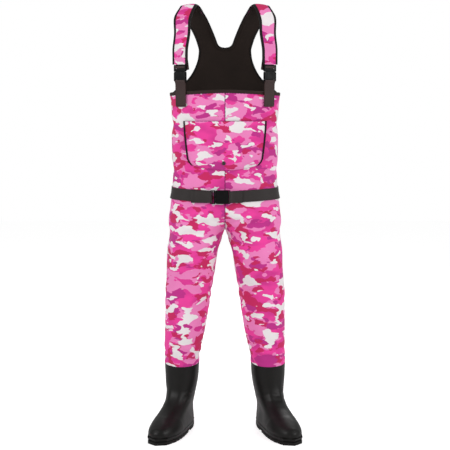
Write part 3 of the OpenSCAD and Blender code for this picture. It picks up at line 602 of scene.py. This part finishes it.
# %% Cloth
def settle(obj, free, pressure, growth, frames, cap, bending):
    before = coords(obj)
    group = obj.vertex_groups.new(name="held")
    for index, value in enumerate(free):
        group.add([index], float(1 - value), "REPLACE")
    alone(obj)
    cloth = obj.modifiers.new("Cloth", "CLOTH").settings
    cloth.quality = 5
    cloth.mass = 0.6
    cloth.tension_stiffness = cloth.compression_stiffness = 25
    cloth.shear_stiffness = 8
    cloth.bending_stiffness = bending
    cloth.vertex_group_mass = "held"
    cloth.pin_stiffness = 1.0
    cloth.shrink_min = -growth
    cloth.effector_weights.gravity = 0
    cloth.use_pressure = True
    cloth.uniform_pressure_force = pressure
    scene = bpy.context.scene
    for number in range(1, frames + 1):
        scene.frame_set(number)
    shaped = obj.evaluated_get(bpy.context.evaluated_depsgraph_get()).to_mesh()
    after = np.empty(len(shaped.vertices) * 3)
    shaped.vertices.foreach_get("co", after)
    move = after.reshape(-1, 3) - before
    obj.modifiers.clear()
    obj.vertex_groups.clear()
    scene.frame_set(1)
    length = np.linalg.norm(move, axis=1, keepdims=True)
    move *= np.tanh(length / cap) * cap / np.maximum(length, 1e-9) * free[:, None]
    place_all(obj, before + move)
    mean_mm, most_mm = float(length.mean()) * 1000, float(length.max()) * 1000
    print(obj.name, "settled: mean move", round(mean_mm, 2), "mm, most", round(most_mm, 1), "mm")


settle(body, slack(coords(body)), pressure=1.2, growth=0.03, frames=14, cap=0.0045, bending=6)
subdivided(body, 1)

# %% [markdown]
# ## Creases
# Neoprene is thick, so it folds in few, soft creases: across the front of the ankle where the leg stacks
# on the boot, behind the knee, fanning out from the crotch, and in short upright gathers beside the belt.
# Each is a narrow hollow between two swells. They are placed by code, as a sculptor would with a crease
# brush, because a coarse simulation cannot put them where a worn suit has them.

# %% Creases
def noise_at(co, scale, seed):
    shift = Vector((seed * 3.7, seed * 1.9, seed * 5.3))
    return np.array([noise.noise(Vector(p) * scale + shift) for p in co])


def hollow(phase, narrow=3.0):
    """A row of narrow valleys, one for each whole step of phase: 0 on the swells, -1 in the valleys."""
    return -np.abs(np.cos(np.pi * phase)) ** narrow


def creases(co):
    x, y, z = np.abs(co[:, 0]), co[:, 1] - mid_y, co[:, 2]
    low, middle, fine = noise_at(co, 7, 1), noise_at(co, 15, 2), noise_at(co, 34, 3)
    front = eased(-y, -0.02, 0.05)
    ankle = eased(z, rim_z + 0.004, rim_z + 0.02) * (1 - eased(z, rim_z + 0.05, rim_z + 0.12))
    move = 0.0024 * ankle * hollow(z / 0.031 + 1.1 * middle + 0.8 * low)
    knee_z = 0.46
    knee = np.exp(-((z - knee_z) / 0.055) ** 2)
    move += knee * (0.0016 * front + 0.0034 * (1 - front)) * hollow(z / 0.042 + 1.3 * low + 0.5 * middle)
    radius = np.hypot(x, z - crotch_z)
    fan = np.exp(-((radius - 0.035) / 0.075) ** 2) * eased(radius, 0.004, 0.02)
    angle = np.arctan2(z - crotch_z, x)
    move += 0.0032 * fan * hollow(angle * 2.1 + 1.0 * low + 0.4 * middle, 2.0)
    gather = np.exp(-np.maximum(np.abs(z - belt_z) - 0.03, 0) / 0.035)
    around = np.arctan2(y, x)
    move += 0.0015 * gather * hollow(around * 4.3 + 1.2 * middle + 0.5 * low, 2.0)
    legs = 1 - eased(z, crotch_z, crotch_z + 0.06)
    return move + (0.0022 * low + 0.0012 * middle) * (0.4 + 0.6 * legs) + 0.0004 * fine


co = coords(body)
place_all(body, co + normals(body) * (creases(co) * slack(co))[:, None])
print("creases on", len(co), "points")

# %% [markdown]
# ## The leg stands on the boot
# The leg is bonded into the boot, and just above the rim the thick sheet swells out flush with the
# rubber. The rows of points next to the rim are moved onto the boot's outline, and the row just below it
# stays inside the shaft.

# %% Swell above the rim
splay = math.radians(19)


def rim_radius(angle, half_width=shaft_half - 0.0006, half_depth=0.0598, squareness=2.1):
    across = np.abs(np.cos(angle) / half_width) ** squareness
    along = np.abs(np.sin(angle) / half_depth) ** squareness
    return (across + along) ** (-1 / squareness)


def sloped_rim(co):
    """The shafts are cut lower in front than behind; the leg's lowest part goes with the rim."""
    reach = np.exp(-((co[:, 2] - rim_z) / 0.045) ** 2)
    co[:, 2] += 0.13 * np.clip(co[:, 1] - mid_y, -0.07, 0.07) * reach
    return co


co = coords(body)
sign = np.where(co[:, 0] > 0, 1.0, -1.0)
x, y = co[:, 0] * sign - shaft_x, co[:, 1] - mid_y
angle, radius = np.arctan2(y, x), np.hypot(x, y)
first = (co[:, 2] > rim_z - 0.0028) & (co[:, 2] <= rim_z + 0.0030)
co[first, 2] = rim_z + 0.0007
full = 1 - eased(co[:, 2], rim_z + 0.008, rim_z + 0.045)
full[co[:, 2] < rim_z] = 0
flush = rim_radius(angle - splay) + 0.0006
grown = np.maximum(radius, radius + (flush - radius) * full)
co[:, 0] = (shaft_x + np.cos(angle) * grown) * sign
co[:, 1] = mid_y + np.sin(angle) * grown
place_all(body, sloped_rim(co))
print("points set flush with the rims:", int(first.sum()))

# %% [markdown]
# ## Cutting the panels apart
# The skin is separated by material into its four panels. `edge_distance` measures how far each point is
# from the panel's nearest edge and stores it as `seam`, and `thickened` gives the sheet its 4.5 mm,
# inwards, with the camouflage outside and the brushed lining inside and round the edge.

# %% Panels
NEOPRENE = 0.0045


def edge_distance(obj):
    mesh = obj.data
    used = {}
    for polygon in mesh.polygons:
        for key in polygon.edge_keys:
            used[key] = used.get(key, 0) + 1
    points = []
    for (a, b), count in used.items():
        if count == 1:
            p, q = mesh.vertices[a].co, mesh.vertices[b].co
            parts = max(1, int((q - p).length / 0.001))
            points += [p.lerp(q, i / parts) for i in range(parts)]
    tree = KDTree(len(points))
    for index, point in enumerate(points):
        tree.insert(point, index)
    tree.balance()
    distances = np.array([tree.find(v.co)[2] for v in mesh.vertices], np.float32)
    mesh.attributes.new("seam", "FLOAT", "POINT").data.foreach_set("value", distances)
    return distances


def thickened(obj, thickness, outside, inside):
    paint(obj, outside, inside)
    obj.data.polygons.foreach_set("material_index", [0] * len(obj.data.polygons))
    modified(obj, "SOLIDIFY", thickness=thickness, offset=-1, use_even_offset=False, material_offset=1,
             material_offset_rim=1, use_quality_normals=True)
    obj.data.shade_smooth()
    alone(obj)
    bpy.ops.object.shade_smooth_by_angle(angle=math.radians(50))
    return obj


for polygon in body.data.polygons:
    polygon.use_smooth = True
alone(body)
bpy.ops.object.mode_set(mode="EDIT")
bpy.ops.mesh.select_all(action="SELECT")
bpy.ops.mesh.separate(type="MATERIAL")
bpy.ops.object.mode_set(mode="OBJECT")
panels = {}
for piece in list(bpy.context.selected_objects):
    own_cloth = piece.data.materials[piece.data.polygons[0].material_index]
    node = next(name for name, cloth in PANELS.items() if cloth == own_cloth)
    piece.name = piece.data.name = node + "_sheet"
    panels[node] = piece
for node, piece in panels.items():
    edge_distance(piece)
    thickened(piece, NEOPRENE, PANELS[node], brushed_lining)
    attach(piece, "suit")
    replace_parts(piece, node)

# %% [markdown]
# ## The back yoke
# Above the chest the back rises into a racer-back yoke that splits into two arms. It is a flat-cut sheet,
# sewn down the middle, so each half is a skin of the CAD node, subdivided and thickened. The wearer's
# side faces the camera, so the lining is what is seen from the front.

# %% Yoke
def crowned(obj):
    """Rounds the tops of the shoulders: each arm's fold falls away on both sides of its highest point."""
    co = coords(obj)
    highest_x = 0.099
    x, z = np.abs(co[:, 0]) - highest_x, co[:, 2].copy()
    fall = np.where(x < 0, 28.0, 3.4) * np.clip(x, -0.02, 0.06) ** 2
    co[:, 2] -= fall * eased(z, top_z - 0.055, top_z - 0.008)
    outwards = 0.002 * eased(x, -0.012, 0.025) * np.exp(-((z - top_z + 0.035) / 0.045) ** 2)
    co[:, 0] += np.sign(co[:, 0]) * outwards
    place_all(obj, co)
    return obj


for side in SIDES:
    node = "back_yoke_" + side
    yoke = skin_of(node, node + "_sheet", sharp=68, centre=Vector((0, mid_y - 0.03, 1.0)))
    let_out(modified(yoke, "SUBSURF", subdivision_type="SIMPLE", levels=2, render_levels=2), 0.0018)
    co = coords(yoke)
    distances = edge_distance(yoke)
    wave = (noise_at(co, 9, 5) * 0.0016 + noise_at(co, 21, 6) * 0.0006) * eased(distances, 0.004, 0.03)
    place_all(yoke, co + normals(yoke) * wave[:, None])
    crowned(thickened(yoke, NEOPRENE, camo_yoke[side], brushed_lining))
    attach(yoke, "suit")
    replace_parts(yoke, node)

# %% [markdown]
# ## Chest pocket
# The pocket is a patch that is sewn along its top and bottom and open at both slanted sides, so that a
# hand slides in from each side. It stands off the bib like a shallow pouch. It is skinned and thickened
# like the panels, and pulled in a little round its snap.

# %% Pocket
pocket = subdivided(skin_of("chest_pocket", "chest_pocket_sheet"), 2)
co = coords(pocket)
distances = edge_distance(pocket)
snap_low, snap_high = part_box("snap_cap")
snap_mid = (snap_low + snap_high) / 2
near = np.exp(-(((co[:, 0] - snap_mid.x) ** 2 + (co[:, 2] - snap_mid.z) ** 2) / 0.016 ** 2))
wave = noise_at(co, 11, 8) * 0.0018 * eased(distances, 0.003, 0.03) * (1 - near)
co[:, 1] -= wave
place_all(pocket, co)
thickened(pocket, NEOPRENE, camo_pocket, brushed_lining)
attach(pocket, "suit")
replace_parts(pocket, "chest_pocket")

# %% [markdown]
# ## Bindings and seam tapes
# Every raw edge is wrapped in a folded tape. The CAD tape has the right section; a bevel turns its
# corners as a fold of cloth does. The flat tapes glued over the centre seams inside the torso are treated
# the same way.

# %% Bindings
for node in ("bib_binding", "neckline_binding", "armhole_binding_left", "armhole_binding_right",
             "pocket_binding_left", "pocket_binding_right"):
    cloth = bib_tape if node == "bib_binding" else folded_tape
    tape = crowned(softened(node, node + "_tape", 0.0011, cloth, segments=2, angle=50))
    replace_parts(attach(tape, "suit"), node)
for node in ("front_seam_tape", "back_seam_tape"):
    tape = softened(node, node + "_glued", 0.0002, brushed_lining, segments=1, angle=60)
    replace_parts(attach(tape, "suit"), node)
print("bindings made")

# %% [markdown]
# ## Shoulder straps
# Each brace starts as a padded strap: camouflage outside, lining under it, bound on both edges. The
# padding makes it swell between its edges.

# %% Straps
for side, sign in SIDES.items():
    node = "shoulder_strap_" + side
    strap = skin_of(node, node + "_padded", centre=Vector((sign * 0.10, mid_y, 1.16)))
    worked(strap, (bpy.ops.mesh.subdivide, dict(number_cuts=1)))
    subdivided(strap, 2)
    distances = edge_distance(strap)
    swell = 0.0016 * (1 - np.exp(-distances / 0.008))
    place_all(strap, coords(strap) + normals(strap) * swell[:, None])
    thickened(strap, 0.0056, camo_strap[side], brushed_lining)
    tape = softened("strap_binding_" + side, "strap_binding_" + side + "_tape", 0.0009, folded_tape, angle=50)
    for piece in (strap, tape):
        co = coords(piece)
        co[:, 0] += sign * 0.003 * eased(co[:, 2], top_z - 0.11, top_z - 0.01)
        place_all(piece, co)
        crowned(piece)
    dressed = ((strap, node, "camo_neoprene"), (tape, "strap_binding_" + side, "binding_tape"))
    for piece, name, slot_name in dressed:
        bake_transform(piece)
        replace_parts(piece, name)
print("straps made")

# %% [markdown]
# ## Belt and brace webbing
# Woven webbing is flat and flexible. The belt is one long skin that runs round the waist, subdivided so
# that it curves smoothly, with its real 1.8 mm. The short tabs that fold through the buckles keep their
# CAD fold, with their corners softened.

# %% Webbing pieces
belt = subdivided(skin_of("belt_webbing", "belt_webbing_woven"), 2)
modified(belt, "SOLIDIFY", thickness=0.0018, offset=-1)
modified(belt, "BEVEL", width=0.0005, segments=2, limit_method="ANGLE", angle_limit=math.radians(50))
paint(belt, belt_weave)
alone(belt)
bpy.ops.object.shade_smooth_by_angle(angle=math.radians(40))
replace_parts(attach(belt, "suit"), "belt_webbing")
WOVEN = {"belt_strap_end": ("belt_clip", belt_weave), "belt_socket_loop": ("suit", belt_weave),
         "belt_loop_middle": ("suit", belt_weave), "belt_loop_left": ("suit", belt_weave),
         "belt_loop_right": ("suit", belt_weave)}
TAIL_INWARDS, TAIL_DOWN = 0.016, 0.011
for side in SIDES:
    WOVEN["brace_webbing_" + side] = ("brace_" + side, brace_weave[side])
    WOVEN["brace_tail_" + side] = ("brace_" + side, brace_weave[side])
    WOVEN["brace_anchor_" + side] = ("suit", brace_weave[side])
for node, (rides_on, weave) in WOVEN.items():
    strip = softened(node, node + "_woven", 0.0005, weave, segments=2, angle=30)
    if node.startswith("brace_tail"):
        # the loose end hangs a little lower, and past the buckle's inner edge
        sign = SIDES[node.split("_")[-1]]
        inwards = -TAIL_INWARDS * np.array([sign * math.cos(strap_turn), math.sin(strap_turn), 0])
        place_all(strip, coords(strip) + inwards - np.array([0, 0, TAIL_DOWN]))
    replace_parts(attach(strip, rides_on), node)
print("webbing pieces:", len(WOVEN) + 1)


def slot_shade_filler(node, side, rides_on, behind, middle_z, height):
    """A short layer of the brace webbing behind a buckle's slot, where a threaded end would lie, put there as
    painted shade so that the slot shows dark.
    """
    sign = SIDES[side]
    across = Vector((sign * math.cos(strap_turn), math.sin(strap_turn), 0))
    outwards = Vector((sign * math.sin(strap_turn), -math.cos(strap_turn), 0))
    points = [v.co for v in nodes[node + side].data.vertices]
    back = min(p.dot(outwards) for p in points) - behind
    middle = (min(p.dot(across) for p in points) + max(p.dot(across) for p in points)) / 2
    bpy.ops.mesh.primitive_cube_add(size=1)
    layer = bpy.context.object
    layer.name = layer.data.name = node + side + "_slot_shade_filler"
    for vertex in layer.data.vertices:
        x, y, z = vertex.co
        place = across * (middle + 0.037 * x) + outwards * (back + 0.0012 * y)
        vertex.co = place + Vector((0, 0, middle_z + height * z))
    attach(paint(layer, brace_weave[side]), rides_on)


for side in SIDES:
    socket_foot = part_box("brace_socket_" + side)[0].z
    ladder_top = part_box("brace_ladder_" + side)[1].z
    # painted shade: dark webbing layers close the slots of each brace's socket and ladder from behind
    slot_shade_filler("brace_socket_", side, "suit", 0.0009, socket_foot + 0.005, 0.011)
    slot_shade_filler("brace_ladder_", side, "brace_" + side, 0.0026, ladder_top - 0.0105, 0.009)

# %% [markdown]
# ## Buckles and snap
# Moulded buckles have no sharp edge anywhere: the mould is cut with small radii. A bevel of 0.5 mm on
# every edge of a copy of the CAD piece gives the thin highlights that make them read as moulded plastic.

# %% Buckles and snap
HARD = {"belt_socket": "suit", "belt_ladder": "belt_clip",
        "belt_prong_upper": "belt_prong_up", "belt_prong_lower": "belt_prong_low"}
for side in SIDES:
    HARD["brace_socket_" + side] = "suit"
    HARD["brace_ladder_" + side] = "brace_" + side
    HARD["brace_prong_" + side + "_inner"] = "brace_" + side + "_prong_in"
    HARD["brace_prong_" + side + "_outer"] = "brace_" + side + "_prong_out"
for node, rides_on in HARD.items():
    piece = softened(node, node + "_moulded", 0.00055, acetal, segments=2, angle=30)
    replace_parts(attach(piece, rides_on), node)
for node in ("snap_cap", "snap_socket", "snap_stud"):
    piece = softened(node, node + "_pressed", 0.0003, brass, segments=2, angle=40)
    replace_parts(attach(piece, "suit"), node)
print("hard pieces:", len(HARD) + 3)

# %% [markdown]
# ## Boots
# The boots are laid up from calendered rubber and vulcanised on a last: a smooth shaft, a raised toe cap,
# a heel counter, and a foxing strip that ties the upper to the treaded sole. The upper is the skin of the
# CAD node, with the toe cap, heel counter, rolled rim and ankle creases raised or pressed into it before
# it gets its 4 mm. Its rim is cut lower in front than behind, as the leg that stands in it is.

# %% Boots
def boot_places(co, sign):
    """Distance forwards and sideways from the shaft's middle, in the turned boot's own directions."""
    x, y = co[:, 0] * sign - shaft_x, co[:, 1] - mid_y
    forward = -y * math.cos(splay) + x * math.sin(splay)
    sideways = x * math.cos(splay) + y * math.sin(splay)
    return forward, sideways, co[:, 2]


def boot_relief(co, sign, toe_end):
    forward, sideways, z = boot_places(co, sign)
    # two nested half-ellipses on the toe's front, and a cap edge further back that is only a soft step
    bow = np.hypot(sideways / 0.027, (z - 0.022) / 0.026)
    arcs = np.exp(-((bow - 1.0) / 0.14) ** 2) + 0.8 * np.exp(-((bow - 0.5) / 0.14) ** 2)
    relief = 0.0014 * arcs * eased(forward, toe_end - 0.05, toe_end - 0.03) * eased(z, 0.022, 0.028)
    cap_edge = toe_end - 0.075 - 16.0 * sideways ** 2
    relief += 0.0007 * eased(forward, cap_edge - 0.006, cap_edge + 0.006)
    heel_edge = -0.012 + 0.5 * np.maximum(z - 0.03, 0)
    relief += 0.0009 * eased(-forward, heel_edge, heel_edge + 0.006) * (1 - eased(z, 0.070, 0.076))
    relief += 0.0005 * eased(z, rim_z - 0.010, rim_z - 0.007)
    bend = noise_at(co, 13, 11 + sign)
    instep = eased(forward, -0.02, 0.05) * np.exp(-((z - 0.112) / 0.024) ** 2)
    relief += 0.0010 * instep * hollow(z / 0.027 + 1.6 * bend + 2.2 * forward, 2.0)
    # the shin's two soft cords, left and right of the middle, where the shaft turns into the foot
    cord = np.exp(-((np.abs(sideways) - 0.017) / 0.009) ** 2 - ((z - 0.115) / 0.022) ** 2)
    relief += 0.0022 * cord * eased(forward, 0.0, 0.03)
    back = eased(-forward, 0.0, 0.05) * np.exp(-((z - 0.102) / 0.024) ** 2)
    relief += 0.0014 * back * hollow(z / 0.026 + 1.5 * bend, 2.0)
    shaft = eased(z, 0.125, 0.16) * (1 - eased(z, rim_z - 0.04, rim_z - 0.015))
    return relief + 0.0016 * noise_at(co, 11, 14 + sign) * shaft


for side, sign in SIDES.items():
    node = "boot_upper_" + side
    upper = subdivided(skin_of(node, node + "_rubber"), 2)
    co = coords(upper)
    toe_end = boot_places(co, sign)[0].max()
    place_all(upper, sloped_rim(co + normals(upper) * boot_relief(co, sign, toe_end)[:, None]))
    modified(upper, "SOLIDIFY", thickness=0.004, offset=-1)
    paint(upper, boot_rubber)
    alone(upper)
    bpy.ops.object.shade_smooth_by_angle(angle=math.radians(55))
    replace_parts(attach(upper, "suit"), node)
    for part, ending, width, material, slot_name in (
            ("boot_foxing_", "_strip", 0.0008, boot_rubber, "boot_rubber"),
            ("boot_sole_", "_treaded", 0.0009, sole_rubber, "boot_rubber"),
            ("boot_insole_", "_felt", 0.0008, brushed_lining, "lining")):
        piece = softened(part + side, part + side + ending, width, material, angle=40)
        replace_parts(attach(piece, "suit"), part + side)
    print(upper.name, len(upper.data.polygons), "faces")

# %% [markdown]
# ## Studio
# A pale floor takes the soft shadow of the soles. The background is white only to the camera and in
# reflections, so the lamps stay at a level at which a colour renders about as it is written: a large key
# above the camera's left, a weaker fill from the right, and a soft light from behind that draws the
# edges.

# %% Studio
bpy.ops.object.select_all(action="DESELECT")
bpy.ops.mesh.primitive_plane_add(size=14, location=(0, 0, 0))
floor = bpy.context.object
floor.name = "pale_floor"
paper, tree, shader = new_material("pale_paper")
shader.inputs["Base Color"].default_value = linear("#F2F2F2")
shader.inputs["Roughness"].default_value = 0.9
ray = add(tree, "ShaderNodeLightPath")
lift = add(tree, "ShaderNodeMath", [(0, ray.outputs["Is Camera Ray"])], operation="MULTIPLY", in_1=0.53)
tree.links.new(lift.outputs[0], shader.inputs["Emission Strength"])
shader.inputs["Emission Color"].default_value = (1, 1, 1, 1)
paint(floor, paper)

world = bpy.data.worlds.new("studio_world")
bpy.context.scene.world = world
world.use_nodes = True
tree = world.node_tree
background = tree.nodes["Background"]
ray = add(tree, "ShaderNodeLightPath")
level = add(tree, "ShaderNodeMapRange", [("Value", ray.outputs["Is Camera Ray"])], in_3=0.5, in_4=1.0)
tree.links.new(level.outputs[0], background.inputs["Strength"])
background.inputs["Color"].default_value = (1, 1, 1, 1)


def soft_box(name, place, aim, size, power):
    data = bpy.data.lights.new(name, "AREA")
    data.shape = "RECTANGLE"
    data.size, data.size_y = size
    data.energy = power
    lamp = bpy.data.objects.new(name, data)
    bpy.context.scene.collection.objects.link(lamp)
    lamp.location = place
    lamp.rotation_euler = (Vector(aim) - Vector(place)).to_track_quat("-Z", "Y").to_euler()
    return lamp


soft_box("key", (-2.3, -1.9, 2.3), (0, 0, 0.8), (1.4, 1.9), 42)
soft_box("fill", (2.5, -1.6, 1.8), (0, 0, 0.7), (1.4, 1.9), 36)
soft_box("back", (0.4, 2.6, 2.2), (0, 0, 0.9), (1.8, 1.2), 26)
bpy.context.scene.view_settings.view_transform = "Standard"
print("studio ready")
